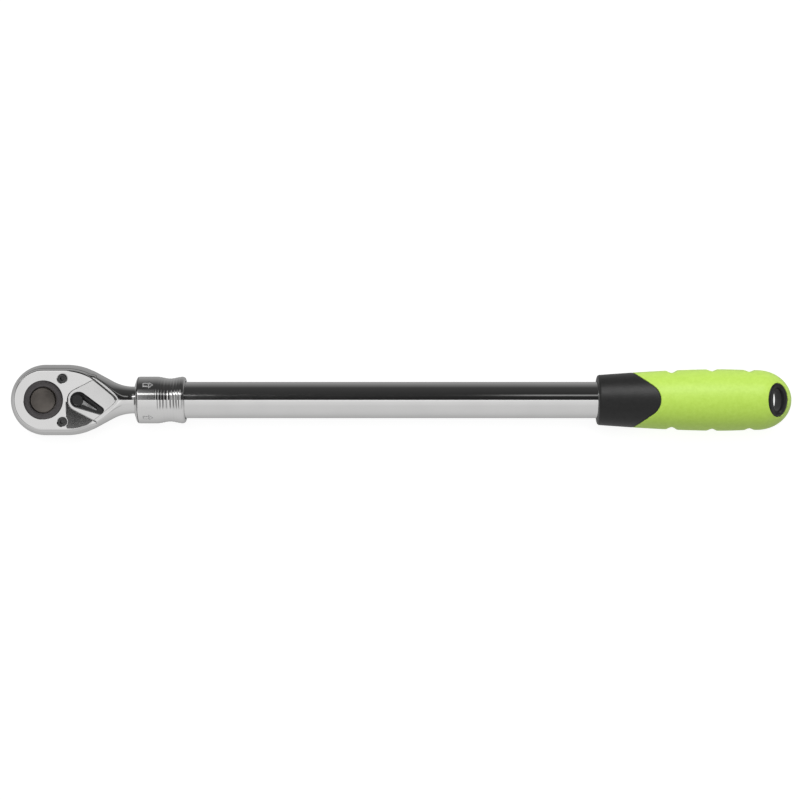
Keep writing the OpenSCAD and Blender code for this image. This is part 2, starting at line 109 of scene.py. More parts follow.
# Its face ends in a V that stands over a lower shelf. SHELF_H is measured from the handle's axis.
SHELF_H = 8.9
PROW_ANGLE = math.radians(51.5)
PROW_CORNER = (30.6, 11.9)
PROW_ROUND = 1.7
PROW_LEAN = 0.08

# The lever's pad, the cover and its screws.
PAD_R = 6.7
PAD_ANGLE = math.radians(27.6)
SCREW_PLACE = (11.4, 13.0)
COVER_END = cover_high[0]
BOSS_R = 11.43
BOSS_GAP = 0.12
SCREW_HOLE_R = 1.6
COUNTERSINK = 1.45

# The cover bends down a little behind this corner, by so much per millimetre along x and y.
WARP_CORNER = (13.2, 0.5)
WARP_EDGE_Y = -15
WARP_SLOPE = (0.026, 0.013)

# The rooms inside the forging.
POCKET_Z = 17.4
GEAR_ROOM_R = 14.75
JOURNAL_R = 10.62
PAWL_ROOM_R = 19.8
PAWL_ROOM_X = 8
LEVER_ROOM_R = 5.5
LEVER_ROOM_Z = (17.5, 30.5)
LEVER_HOLE_R = 4.38
LEVER_HOLE_FOOT = 25
BAR_ROOM_R = 5.05
BAR_ROOM_X = 41.5

PLUNGER_Z = 23.5
LEVER_ANGLE = math.radians(26.5)


# ---- Distance fields: negative inside, in millimetres ----

def join(a, b, blend=0.2):
    """Smooth union."""
    return -cut(-a, -b, blend)


def cut(a, b, blend=0.2):
    """Smooth intersection: the edge where a meets b is rounded over about blend."""
    near = np.maximum(blend - np.abs(a - b), 0)
    return np.maximum(a, b) + near * near / (4 * blend)


def outline_distance(x, y):
    """Signed distance from the head's outline as seen from above."""
    y = np.abs(y)
    round_end = np.where(x < 0, np.hypot(x, y), y) - HEAD_R
    shoulder = np.hypot(x - SIDE_LEN, y - SHOULDER_Y) - SHOULDER_R
    throat = THROAT_R - np.hypot(x - THROAT_X, y - THROAT_Y)
    along = (x - TAPER_START[0]) * math.cos(TAPER) - (y - TAPER_START[1]) * math.sin(TAPER)
    taper = (x - TAPER_START[0]) * math.sin(TAPER) + (y - TAPER_START[1]) * math.cos(TAPER)
    taper_len = math.hypot(TAPER_END[0] - TAPER_START[0], TAPER_END[1] - TAPER_START[1])
    behind = np.where(along < 0, shoulder, np.where(along > taper_len, throat, taper))
    behind = np.where(x > THROAT_X, y - NECK_R, behind)
    return np.where(x > SIDE_LEN, behind, round_end)


def flare_radius(x):
    """Radius of the neck and its flare, which follow the outline."""
    reach = np.clip(THROAT_X - x, 0, THROAT_X - TAPER_END[0])
    rise = np.maximum(TAPER_END[0] - x, 0) * math.tan(TAPER)
    return THROAT_Y - np.sqrt(THROAT_R ** 2 - reach ** 2) + rise


def head_blank(x, y, z):
    """The forging before its pockets are cut. The divisors keep each field's slope near 1."""
    flare_from, flare_rate, flare_most = 28, 0.3, 4
    up = np.abs(z - AXIS_Z)
    inset = FACE_INSET * (up / (HEAD_T / 2)) ** INSET_POWER
    sides = (outline_distance(x, y) + inset) / 1.15
    toward = math.cos(PROW_ANGLE), math.sin(PROW_ANGLE)
    flare = np.hypot(y, z - AXIS_Z) - flare_radius(x)
    sides = cut(sides - np.clip((x - flare_from) * flare_rate, 0, flare_most), flare, 0.6)
    prow = ((x - PROW_CORNER[0]) * toward[0] + (np.hypot(y, PROW_ROUND) - PROW_CORNER[1]) * toward[1]
            - PROW_LEAN * (HEAD_T / 2 - up)) / math.hypot(1, PROW_LEAN)
    roof = join(cut(prow, up - HEAD_T / 2, 0.3), up - SHELF_H, 0.35)
    return cut(sides, roof, 0.6)


def pad_distance(x, y):
    """Signed distance from the lever's pad as seen from above."""
    along, across = x - LEVER_X, np.abs(y)
    ahead = along * math.cos(PAD_ANGLE) + across * math.sin(PAD_ANGLE)
    flank = across * math.cos(PAD_ANGLE) - along * math.sin(PAD_ANGLE)
    return np.where(ahead < 0, np.hypot(along, across), flank) - PAD_R


def beyond(place, low, high):
    """Signed distance from the stretch between low and high."""
    return np.abs(place - (low + high) / 2) - (high - low) / 2


def post(x, y, centre, radius):
    """Signed distance from an upright cylinder."""
    return np.hypot(x - centre[0], y - centre[1]) - radius


def head_field(x, y, z):
    """The forging: the blank less the cover's seat and the rooms for gear, pawl, lever and bar."""
    lid = cut(cut(COVER_Z - z, 0.02 - pad_distance(x, y), 0.3), x - COVER_END, 0.3)
    body = cut(head_blank(x, y, z), -lid, 0.45)
    gear_room = cut(post(x, y, (0, 0), GEAR_ROOM_R), POCKET_Z - z)
    journal = post(x, y, (0, 0), JOURNAL_R)
    pawl_room = cut(cut(post(x, y, (0, 0), PAWL_ROOM_R), POCKET_Z - z), z - COVER_Z + 0.2)
    pawl_room = cut(pawl_room, PAWL_ROOM_X - x)
    lever_room = cut(post(x, y, (LEVER_X, 0), LEVER_ROOM_R), beyond(z, *LEVER_ROOM_Z))
    lever_hole = cut(post(x, y, (LEVER_X, 0), LEVER_HOLE_R), LEVER_HOLE_FOOT - z)
    bar_room = cut(np.hypot(y, z - AXIS_Z) - BAR_ROOM_R, BAR_ROOM_X - x)
    for hollow in (gear_room, journal, pawl_room, lever_room, lever_hole, bar_room):
        body = cut(body, -hollow, 0.4)
    return cut(body, x - head_high[0], 0.5)


def cover_field(x, y, z):
    """The cover plate, with its slight bend, the boss's opening and countersunk screw holes."""
    past_x, past_y = x - WARP_CORNER[0], WARP_CORNER[1] - y
    fade_x, fade_y = 0.8, 1.5
    warp = np.clip(past_x / fade_x, 0, 1) * np.clip(past_y / fade_y, 0, 1)
    warp = warp * (WARP_SLOPE[0] * past_x + WARP_SLOPE[1] * (y - WARP_EDGE_Y))
    plate = np.maximum(head_blank(x, y, z), z + warp - FACE_Z)
    plate = cut(plate, COVER_Z + 0.05 - z, 0.3)
    plate = cut(plate, 0.1 - pad_distance(x, y), 0.4)
    plate = cut(plate, -post(x, y, (0, 0), BOSS_R + BOSS_GAP), 0.4)
    screw = post(x, np.abs(y), SCREW_PLACE, 0)
    plate = cut(plate, SCREW_HOLE_R - screw, 0.3)
    cone = (z - FACE_Z + COUNTERSINK + SCREW_HOLE_R - screw) / 1.41
    plate = cut(plate, cone, 0.25)
    return cut(plate, x - COVER_END + 0.1, 0.3)


def screw_field(x, y, z):
    """Both cover screws, with a hexagonal key recess."""
    head_r, head_h, key_half, key_deep, shank_r = 2.62, 2, 1.2, 1.5, 1.45
    side = np.abs(y)
    head = cut(post(x, side, SCREW_PLACE, head_r), beyond(z, SCREW_TOP - head_h, SCREW_TOP), 0.5)
    u, v = x - SCREW_PLACE[0], side - SCREW_PLACE[1]
    hexagon = np.abs(v)
    for turn in (math.pi / 3, -math.pi / 3):
        hexagon = np.maximum(hexagon, np.abs(v * math.cos(turn) - u * math.sin(turn)))
    head = cut(head, -cut(hexagon - key_half, SCREW_TOP - key_deep - z), 0.3)
    shank = cut(post(x, side, SCREW_PLACE, shank_r), beyond(z, SCREW_FOOT, SCREW_TOP - 0.6), 0.3)
    return join(head, cut(shank, z - SCREW_TOP + 1.7))


def lever_field(x, y, z):
    """The reversing lever: u runs along its blade, v across it and w up from the face."""
    turn = -LEVER_ANGLE
    u = (x - LEVER_X) * math.cos(turn) + y * math.sin(turn)
    v = y * math.cos(turn) - (x - LEVER_X) * math.sin(turn)
    w = z - FACE_Z
    end_r, tip_r, length = 5.0, 2.5, 14.2
    lean = math.asin((end_r - tip_r) / length)
    along = u * math.cos(lean) - np.abs(v) * math.sin(lean)
    flank = u * math.sin(lean) + np.abs(v) * math.cos(lean) - end_r
    reach = length * math.cos(lean)
    blade = np.where(along < 0, np.hypot(u, v) - end_r,
                     np.where(along > reach, np.hypot(u - length, v) - tip_r, flank))
    out = np.hypot(u, v)
    blade_top, fin_end = 1.8, 12.6
    blade = cut(blade, beyond(w, 0.1, blade_top), 0.9)
    hub = cut(out - 3.25, beyond(w, 0.05, 3.55), 0.4)
    moat = cut(beyond(out, 3.25, 3.95), blade_top - 0.45 - w)
    ridge = np.interp(u, [3, fin_end], [1.5, 0.1])
    width = np.interp(u, [3, fin_end], [2.9, 0.9])
    peak = np.interp(u, [3, 8, fin_end], [3.5, 3.2, 2.3])
    facet = (w - peak + (peak - blade_top + 0.1) * (ridge - v) / width) * 0.8
    fin = cut(cut(facet, v - ridge, 0.15), beyond(u, 2.2, 13), 0.5)
    slot = cut(cut(beyond(v - ridge, 0, 0.84), beyond(u, 3.8, 12.2), 0.5), 1.0 - w)
    body = cut(cut(blade, -moat, 0.3), -slot, 0.25)
    body = join(join(body, hub), cut(fin, 0.5 - w))
    stem = cut(out - 4.25, beyond(w, -3.5, 0.3))
    pin = cut(out - 3.58, beyond(z, 15.4, 30), 0.3)
    groove = cut(beyond(out, 3.7, 7.5), beyond(w, -1.7, -0.5), 0.1)
    return join(join(body, cut(stem, -groove, 0.1), 0.1), pin, 0.1)


# ---- Grip fields ----

GRIP_X0 = nose_low[0]
GRIP_X1 = sleeve_high[0]
FAT_X = 408
DOME_LEN = 20.6
DOME_X = GRIP_X1 - DOME_LEN
DOME_R = GRIP_R - 0.5
CORE_R = 13.2
HANG_X = 440.2
HANG_HOLE = (2.6, 6.4)
HANG_DRAFT = 0.01
HANG_RIM = (6.3, 10.1)
SCALLOPS = (378.2, 402.6, 425.2)
SCALLOP_R = 4.05
SCALLOP_OUT = 2.8
SCALLOP_FALL = 0.0012
CORE_END = DOME_X + 12
FRONT_LIP = 2
TONGUE_X = 369.9
TONGUE_R = 10.6
TONGUE_ANGLE = math.radians(54.1)


def swell_table():
    """Places and radii along the grip's swelling front, from one cubic curve."""
    t = np.linspace(0, 1, 1500)
    s = 1 - t
    points = ((GRIP_X0 + 1.4, 15.2), (360, 17.1), (385, GRIP_R), (FAT_X, GRIP_R))
    weights = (s ** 3, 3 * s * s * t, 3 * s * t * t, t ** 3)
    return [sum(w * p[k] for w, p in zip(weights, points)) for k in (0, 1)]


SWELL_X, SWELL_R = swell_table()


def grip_surface(x, y, z):
    """The grip's outside, with its finger scallops."""
    out = np.hypot(y, z - AXIS_Z)
    t = np.clip((x - FAT_X) / (DOME_X - FAT_X), 0, 1)
    radius = np.where(x < FAT_X, np.interp(x, SWELL_X, SWELL_R),
                      GRIP_R + (DOME_R - GRIP_R) * t * t * (3 - 2 * t))
    dome = (np.hypot(np.maximum(x - DOME_X, 0) / DOME_LEN, out / DOME_R) - 1) * DOME_R
    skin = np.where(x < DOME_X, out - radius, dome)
    skin = cut(skin, GRIP_X0 - x, 1.6)
    for place in SCALLOPS:
        far = GRIP_R + SCALLOP_OUT - SCALLOP_FALL * (place - FAT_X) ** 2
        skin = cut(skin, SCALLOP_R - np.hypot(x - place, np.abs(y) - far), 0.5)
    return skin


def nose_distance(x, y):
    """Signed distance, as seen from above, from the line where black meets green."""
    along, across = x - (TONGUE_X - TONGUE_R), np.abs(y)
    flank = along * math.cos(TONGUE_ANGLE) + across * math.sin(TONGUE_ANGLE)
    past = across * math.cos(TONGUE_ANGLE) - along * math.sin(TONGUE_ANGLE)
    return np.where(past > 0, flank, np.hypot(along, across)) - TONGUE_R


def oval_distance(x, y, half):
    """Rough signed distance from an oval round the hanging hole's middle."""
    across, up = (x - HANG_X) / half[0], y / half[1]
    k = np.hypot(across, up)
    return k * (k - 1) / (np.hypot(across / half[0], up / half[1]) + 1e-6)


def grip_nose_field(x, y, z):
    shell = cut(grip_surface(x, y, z), nose_distance(x, y) + 0.05, 0.35)
    room = np.where(x < GRIP_X0 + FRONT_LIP, TUBE_R + 0.05, CORE_R + 0.02)
    return cut(shell, room - np.hypot(y, z - AXIS_Z))


def grip_sleeve_field(x, y, z):
    shell = cut(grip_surface(x, y, z), 0.05 - nose_distance(x, y), 0.35)
    shell = cut(shell, 0.06 - oval_distance(x, y, HANG_RIM), 0.35)
    out = np.hypot(y, z - AXIS_Z)
    core = cut(out - CORE_R - 0.02, x - CORE_END, 3)
    return cut(shell, -core)


def grip_core_field(x, y, z):
    skin = grip_surface(x, y, z)
    rim = cut(skin + 0.12, oval_distance(x, y, HANG_RIM), 0.5)
    out = np.hypot(y, z - AXIS_Z)
    core = cut(cut(out - CORE_R, x - CORE_END, 3), GRIP_X0 + FRONT_LIP - x, 0.3)
    body = join(rim, core)
    tube_room = cut(out - TUBE_R - 0.02, x - tube_high[0] - 0.1)
    body = cut(body, -tube_room)
    flare_wide, flare_deep = 2.3, 3.6
    flare = flare_wide * np.clip(1 + skin / flare_deep, 0, 1) ** 2
    mouth = oval_distance(x, y, [half + HANG_DRAFT * (z - AXIS_Z) for half in HANG_HOLE]) - flare
    return cut(body, -mouth, 0.5)


# ---- Meshes ----

FILLET_STEPS = 5
GUARD_GAP = 0.5
BEVEL_FROM = math.radians(32)

def corner_sum(grid):
    """Adds up each cell's eight corners."""
    for axis in range(3):
        low = np.take(grid, range(grid.shape[axis] - 1), axis)
        high = np.take(grid, range(1, grid.shape[axis]), axis)
        grid = low + high
    return grid


def slope_of(field, p):
    """The field's gradient at points p."""
    reach = 0.02
    parts = []
    for axis in range(3):
        step = np.zeros(3)
        step[axis] = reach
        parts.append((field(*(p + step).T) - field(*(p - step).T)) / (2 * reach))
    return np.stack(parts, 1)


def net(name, field, low, high, step):
    """Wraps a smooth mesh round the surface where a field is zero, with the field's own normals."""
    axes = [np.arange(a, b + step, step) for a, b in zip(low, high)]
    inside = field(*np.meshgrid(*axes, indexing="ij")) < 0
    count = corner_sum(inside.astype(np.int8))
    cells = np.argwhere((count > 0) & (count < 8))
    number = np.full(count.shape, -1, np.int64)
    number[tuple(cells.T)] = np.arange(len(cells))
    p = np.array([a[0] for a in axes]) + (cells + 0.5) * step
    home = p.copy()
    for _ in range(6):
        slope = slope_of(field, p)
        size = np.maximum((slope ** 2).sum(1), 0.05)
        p = p - slope * (field(*p.T) / size)[:, None]
        p = home + np.clip(p - home, -0.9 * step, 0.9 * step)
    quads = []
    for axis in range(3):
        b, c = (axis + 1) % 3, (axis + 2) % 3
        first = np.take(inside, range(inside.shape[axis] - 1), axis)
        second = np.take(inside, range(1, inside.shape[axis]), axis)
        for flip, crossing in ((False, first & ~second), (True, second & ~first)):
            edge = np.argwhere(crossing)
            edge = edge[(edge[:, b] > 0) & (edge[:, c] > 0)]
            corners = []
            for back_b, back_c in ((1, 1), (0, 1), (0, 0), (1, 0)):
                cell = edge.copy()
                cell[:, b] -= back_b
                cell[:, c] -= back_c
                corners.append(number[tuple(cell.T)])
            quads.append(np.stack(corners[::-1] if flip else corners, 1))
    normals = slope_of(field, p)
    normals /= np.maximum(np.linalg.norm(normals, axis=1), 1e-9)[:, None]
    return mesh_piece(name, p, np.concatenate(quads), normals)


def mesh_piece(name, points, faces, normals=None, sharp=None):
    """A mesh object from points in millimetres."""
    mesh = bpy.data.meshes.new(name)
    mesh.from_pydata((np.asarray(points) * MM).tolist(), [], [list(map(int, f)) for f in faces])
    mesh.shade_smooth()
    if normals is not None:
        mesh.normals_split_custom_set_from_vertices(normals.tolist())
    elif sharp is not None:
        mesh.set_sharp_from_angle(angle=math.radians(sharp))
    piece = bpy.data.objects.new(name, mesh)
    bpy.context.scene.collection.objects.link(piece)
    return piece


def filleted(corners):
    """Turns corners [x, radius, fillet] into a closed line with round corners."""
    line = []
    for i, (x, r, fillet) in enumerate(corners):
        here = np.array([x, r], float)
        before = np.array(corners[i - 1][:2], float) - here
        after = np.array(corners[(i + 1) % len(corners)][:2], float) - here
        if fillet == 0:
            line.append(here)
            continue
        room = min(np.linalg.norm(before), np.linalg.norm(after)) * 0.45
        reach = min(fillet, room)
        a = here + before / np.linalg.norm(before) * reach
        b = here + after / np.linalg.norm(after) * reach
        for t in np.linspace(0, 1, FILLET_STEPS):
            line.append((1 - t) ** 2 * a + 2 * t * (1 - t) * here + t * t * b)
    return with_guards(np.array(line))


def with_guards(line):
    """Adds a point near each end of every long stretch, which keeps its shading straight."""
    guarded = []
    for here, after in zip(line, np.roll(line, -1, axis=0)):
        guarded.append(here)
        length = np.linalg.norm(after - here)
        if length > 3 * GUARD_GAP:
            step = (after - here) / length * GUARD_GAP
            guarded += [here + step, after - step]
    return np.array(guarded)


def lathe(name, line, segments=192, dent=None, sharp=30):
    """Turns a closed line of [x, radius] about the handle's axis, less dent(x, radius, angle)."""
    angle = np.linspace(0, 2 * math.pi, segments, endpoint=False)
    x = np.repeat(line[:, 0], segments)
    r = np.repeat(line[:, 1], segments)
    turn = np.tile(angle, len(line))
    if dent is not None:
        r = r - dent(x, r, turn)
    points = np.stack([x, r * np.sin(turn), AXIS_Z + r * np.cos(turn)], 1)
    rings = len(line)
    faces = []
    for i in range(rings):
        for k in range(segments):
            n = (k + 1) % segments
            j = (i + 1) % rings
            faces.append((i * segments + k, i * segments + n, j * segments + n, j * segments + k))
    return mesh_piece(name, points, faces, sharp=sharp)


def eased(node, name, width):
    """A copy of a CAD node's mesh with its edges rounded off."""
    mesh = frame["nodes"][node].data.copy()
    mesh.name = name
    piece = bpy.data.objects.new(name, mesh)
    bpy.context.scene.collection.objects.link(piece)
    work = bmesh.new()
    work.from_mesh(mesh)
    bmesh.ops.remove_doubles(work, verts=work.verts, dist=2e-6)
    bmesh.ops.dissolve_limit(work, angle_limit=math.radians(0.4), verts=work.verts, edges=work.edges)
    edges = [e for e in work.edges if e.is_manifold and e.calc_face_angle(0) > BEVEL_FROM]
    bmesh.ops.bevel(work, geom=edges, offset=width * MM, segments=2, affect="EDGES", profile=0.5,
                    clamp_overlap=True)
    bmesh.ops.triangulate(work, faces=[f for f in work.faces if len(f.verts) > 4])
    work.to_mesh(mesh)
    work.free()
    mesh.shade_smooth()
    mesh.set_sharp_from_angle(angle=math.radians(28))
    mesh.materials.clear()
    return piece


# ---- Materials ----

def sockets(shader, values):
    """Sets a shader's inputs by name."""
    for key, value in values.items():
        shader.inputs[key].default_value = value


def set_stops(ramp, places, colours):
    """Gives a colour ramp these stops, lowest first."""
    ramp.elements[0].position = places[0]
    ramp.elements[-1].position = places[-1]
    for place in places[1:-1]:
        ramp.elements.new(place)
    for element, colour in zip(ramp.elements, colours):
        element.color = (*colour, 1)


class Paint:
    """Small helper that builds one procedural material."""

    def __init__(self, name, **values):
        self.material = bpy.data.materials.new(name)
        self.material.use_nodes = True
        self.tree = self.material.node_tree
        self.shader = self.tree.nodes["Principled BSDF"]
        sockets(self.shader, values)
        self.place = self.tree.nodes.new("ShaderNodeTexCoord").outputs["Object"]

    def node(self, kind, **inputs):
        made = self.tree.nodes.new(kind)
        for key, value in inputs.items():
            socket = made.inputs[key.replace("_", " ")]
            if isinstance(value, bpy.types.NodeSocket):
                self.tree.links.new(value, socket)
            else:
                socket.default_value = value
        return made

    def noise(self, scale, detail=3.0, stretch=(1, 1, 1), roughness=0.5):
        mapped = self.node("ShaderNodeMapping", Vector=self.place, Scale=stretch)
        made = self.node("ShaderNodeTexNoise", Vector=mapped.outputs[0], Scale=scale,
                         Detail=detail, Roughness=roughness)
        return made.outputs[0]

    def spots(self, scale):
        return self.node("ShaderNodeTexVoronoi", Vector=self.place, Scale=scale).outputs["Distance"]

    def ramp(self, factor, stops):
        made = self.node("ShaderNodeValToRGB", Fac=factor)
        set_stops(made.color_ramp, [place for place, _ in stops], [colour for _, colour in stops])
        return made.outputs[0]

    def level(self, factor, low, high):
        made = self.node("ShaderNodeMapRange", Value=factor, To_Min=low, To_Max=high)
        return made.outputs[0]

    def link(self, output, socket):
        self.tree.links.new(output, self.shader.inputs[socket])

    def bump(self, *layers):
        """Layers are (height, strength, distance in metres), finest last."""
        normal = None
        for height, strength, distance in layers:
            made = self.node("ShaderNodeBump", Height=height, Strength=strength, Distance=distance)
            if normal is not None:
                self.tree.links.new(normal, made.inputs["Normal"])
            normal = made.outputs[0]
        self.link(normal, "Normal")


def grey(value):
    return (value, value * 0.995, value * 0.99)


def chrome(name, tone, rough, grain=(1, 1, 1), haze=0.03):
    """Plated steel: a clear reflection, faint handling marks and hairline scratches."""
    paint = Paint(name, Metallic=1.0)
    marks = paint.noise(60, 4)
    paint.link(paint.ramp(marks, [(0.3, grey(tone * 0.965)), (0.7, grey(tone))]), "Base Color")
    scratches = paint.noise(900, 2, grain)
    paint.link(paint.level(paint.noise(140, 5), rough, rough + haze), "Roughness")
    paint.bump((paint.noise(35, 2), 0.05, 0.0004), (scratches, 0.03, 0.00002))
    return paint.material


def steel(name, dark, light, rough, grain=(1, 1, 1), metallic=1.0):
    """Satin steel with a fine, slightly uneven grain."""
    paint = Paint(name, Metallic=metallic)
    tone = paint.noise(220, 5, grain, 0.65)
    paint.link(paint.ramp(tone, [(0.25, dark), (0.75, light)]), "Base Color")
    paint.link(paint.level(paint.noise(500, 3, grain), rough - 0.06, rough + 0.08), "Roughness")
    paint.bump((tone, 0.06, 0.0001), (paint.noise(2500, 2, grain), 0.12, 0.00003))
    return paint.material


def soft_touch(name, dark, light, rough):
    """Moulded soft-touch rubber: a fine raised speckle and slight colour variation."""
    paint = Paint(name)
    sockets(paint.shader, {"Sheen Weight": 0.06, "Sheen Roughness": 0.6, "Specular IOR Level": 0.32})
    cloud = paint.noise(420, 6, roughness=0.7)
    paint.link(paint.ramp(cloud, [(0.3, dark), (0.72, light)]), "Base Color")
    paint.link(paint.level(paint.noise(900, 2), rough - 0.05, rough + 0.08), "Roughness")
    paint.bump((cloud, 0.2, 0.0002), (paint.spots(1700), 0.28, 0.00012))
    return paint.material


def plastic(name, colour, rough):
    """Smooth moulded plastic with a faint cloud."""
    paint = Paint(name)
    cloud = paint.noise(300, 4)
    low = tuple(0.88 * c for c in colour)
    paint.link(paint.ramp(cloud, [(0.3, low), (0.7, colour)]), "Base Color")
    paint.link(paint.level(paint.noise(700, 3), rough - 0.04, rough + 0.06), "Roughness")
    paint.bump((paint.noise(1500, 3), 0.1, 0.00005))
    return paint.material


MATERIALS = {
    "polished_chrome": chrome("polished_chrome", 0.82, 0.07),
    "mirror_chrome": chrome("mirror_chrome", 0.87, 0.045, haze=0.02),
    "tube_chrome": chrome("tube_chrome", 0.82, 0.06, grain=(0.03, 1, 1)),
    "gear_steel": steel("gear_steel", (0.13, 0.122, 0.124), (0.175, 0.165, 0.168), 0.42),
    "button_steel": steel("button_steel", (0.17, 0.155, 0.14), (0.225, 0.203, 0.186), 0.4),
    "black_steel": steel("black_steel", (0.1, 0.1, 0.1), (0.15, 0.15, 0.15), 0.36),
    "etched_steel": steel("etched_steel", (0.5, 0.5, 0.5), (0.6, 0.6, 0.6), 0.6, metallic=0.4),
    "ball_steel": chrome("ball_steel", 0.72, 0.1),
    "spring_steel": steel("spring_steel", (0.38, 0.37, 0.36), (0.5, 0.49, 0.48), 0.3),
    "lever_black": plastic("lever_black", (0.012, 0.012, 0.0125), 0.3),
    "seal_rubber": plastic("seal_rubber", (0.012, 0.012, 0.012), 0.7),
    "bush_plastic": plastic("bush_plastic", (0.62, 0.58, 0.46), 0.45),
    "grip_black": soft_touch("grip_black", (0.005, 0.005, 0.005), (0.01, 0.01, 0.01), 0.44),
    "grip_green": soft_touch("grip_green", (0.37, 0.56, 0.068), (0.43, 0.63, 0.095), 0.42),
}


# ---- Pieces ----

SLOTS = {part["node"]: part["material_slot"] for part in frame["record"]["subparts"]}

# How far past a node's box its mesh is searched for.
HEAD_PAD = 0.8
GRIP_PAD = 0.9

def settle(piece, node, body):
    """Gives a piece its finish, hides the CAD node it stands in for and hangs the piece on its body."""
    piece.data.materials.append(MATERIALS[SLOTS[node]])
    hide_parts(node)
    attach(piece, body)


def build_head():
    step = 0.36
    for name, field, node, body, fineness in (
            ("head_forging", head_field, "head_body", "head", 0.78),
            ("head_cover", cover_field, "cover_plate", "head", 0.55),
            ("lever", lever_field, "reverse_lever", "lever", 0.4),
            ("cover_screw_pair", screw_field, "cover_screws", "head", 0.5)):
        low, high = node_box(node)
        settle(net(name, field, low - HEAD_PAD, high + HEAD_PAD, step * fineness), node, body)
    settle(eased("drive_gear", "ratchet_gear", 0.16), "drive_gear", "drive")
    settle(eased("release_button", "push_button", 0.12), "release_button", "button")
    settle(eased("extension_bar", "notched_bar", 0.35), "extension_bar", "head")


ARROW_X = 62.9
ARROW_TURN = math.radians(40)
ARROW_DEEP = 0.22
SHAFT_HALF = 1.6
ARROW_HALF_LEN = 3.3
LINE_HALF = 0.3
SHAFT_END = 0.6
POINT_START = 0.2
POINT_SLOPE = (0.67, 0.742)


def arrow_depth(x, r, turn):
    """How deep the outline of the four block arrows is engraved."""
    quarter = math.pi / 2
    local = (turn - ARROW_TURN + quarter / 2) % quarter - quarter / 2
    u, v = x - ARROW_X, np.abs(r * local)
    shaft = np.maximum(v - SHAFT_HALF, np.maximum(-ARROW_HALF_LEN - u, u - SHAFT_END))
    point = np.maximum(POINT_START - u, (u - ARROW_HALF_LEN) * POINT_SLOPE[0] + v * POINT_SLOPE[1])
    shape = np.minimum(shaft, point)
    line = np.abs(shape + LINE_HALF + 0.05) - LINE_HALF
    outer = r > COLLAR_R - 0.2
    return np.where(outer, ARROW_DEEP * np.clip(0.5 - line / ARROW_DEEP, 0, 1), 0)


def collar_line():
    """The release collar's section: a plain band, a ringed finger waist and a round rear lip."""
    x0, x1 = collar_low[0], collar_high[0]
    lip_r, waist_deep, ring_deep, rings = 1.6, 1.08, 0.16, 9
    band_step, waist_step = 0.17, 0.13
    waist_x0, waist_x1 = x0 + 10.8, x1 - lip_r
    front_bore, seat_bore, spring_bore = 11.95, 10.62, 11.45
    band = np.arange(x0 + 0.5, waist_x0, band_step)
    waist = np.arange(waist_x0, waist_x1, waist_step)
    phase = (waist - waist_x0) / (waist_x1 - waist_x0)
    dip = COLLAR_R - waist_deep / 2 * (1 - np.cos(2 * math.pi * phase))
    groove = ring_deep * (1 - np.abs(np.sin(math.pi * phase * rings)) ** 0.6)
    edge = np.minimum(1, np.minimum(phase, 1 - phase) * 30)
    outer = [[x0, COLLAR_R - 0.45], [x0 + 0.08, COLLAR_R - 0.2], [x0 + 0.25, COLLAR_R - 0.05]]
    outer += [[x, COLLAR_R] for x in band]
    outer += [[x, r] for x, r in zip(waist, dip - groove * edge)]
    for angle in np.linspace(0, 90, 8):
        a = math.radians(angle)
        outer.append([waist_x1 + lip_r * math.sin(a), COLLAR_R - 0.15 - 1.4 * (1 - math.cos(a))])
    outer += [[x1, 11.9], [x1 - 0.12, 11.5], [x1 - 0.5, spring_bore]]
    inner = [[68.5, spring_bore], [68.5, seat_bore], [65.0, seat_bore], [63.67, front_bore],
             [x0, front_bore]]
    return with_guards(np.array(outer + inner))


def build_handle():
    x0, x1 = tube_low[0], tube_high[0]
    tube_bore, cap_bore, cap_room, cap_floor = 9.2, 8.35, 9.41, 55.28
    tube = filleted([[x0, tube_bore, 0.1], [x0, TUBE_R, 0.3],
                     [x1, TUBE_R, 0.1], [x1, tube_bore, 0.1]])
    settle(lathe("handle_tube", tube), "outer_tube", "handle")
    cap = filleted([[cap_low[0], cap_bore, 0.2], [cap_low[0], 9.9, 0.5], [cap_low[0] + 1.2, 13.3, 1.2],
                    [cap_low[0] + 1.9, COLLAR_R - 0.05, 0.4], [cap_high[0], COLLAR_R - 0.15, 0.2],
                    [cap_high[0], cap_room, 0], [cap_floor, cap_room, 0], [cap_floor, cap_bore, 0]])
    settle(lathe("collar_cap", cap), "nose_cap", "handle")
    segments = 480
    collar = lathe("pull_collar", collar_line(), segments, arrow_depth, 40)
    settle(collar, "release_collar", "collar")
    collar.data.materials.append(MATERIALS["etched_steel"])
    for face in collar.data.polygons:
        x, y, z = np.array(face.center) / MM
        r = math.hypot(y, z - AXIS_Z)
        if arrow_depth(x, r + 0.2, math.atan2(y, z - AXIS_Z)) > 0.1:
            face.material_index = 1
    step = 0.55
    for name, field, node in (("grip_front", grip_nose_field, "grip_nose"),
                              ("grip_cover", grip_sleeve_field, "grip_sleeve"),
                              ("grip_inner", grip_core_field, "grip_core")):
        low, high = node_box(node)
        settle(net(name, field, low - GRIP_PAD, high + GRIP_PAD, step), node, "handle")


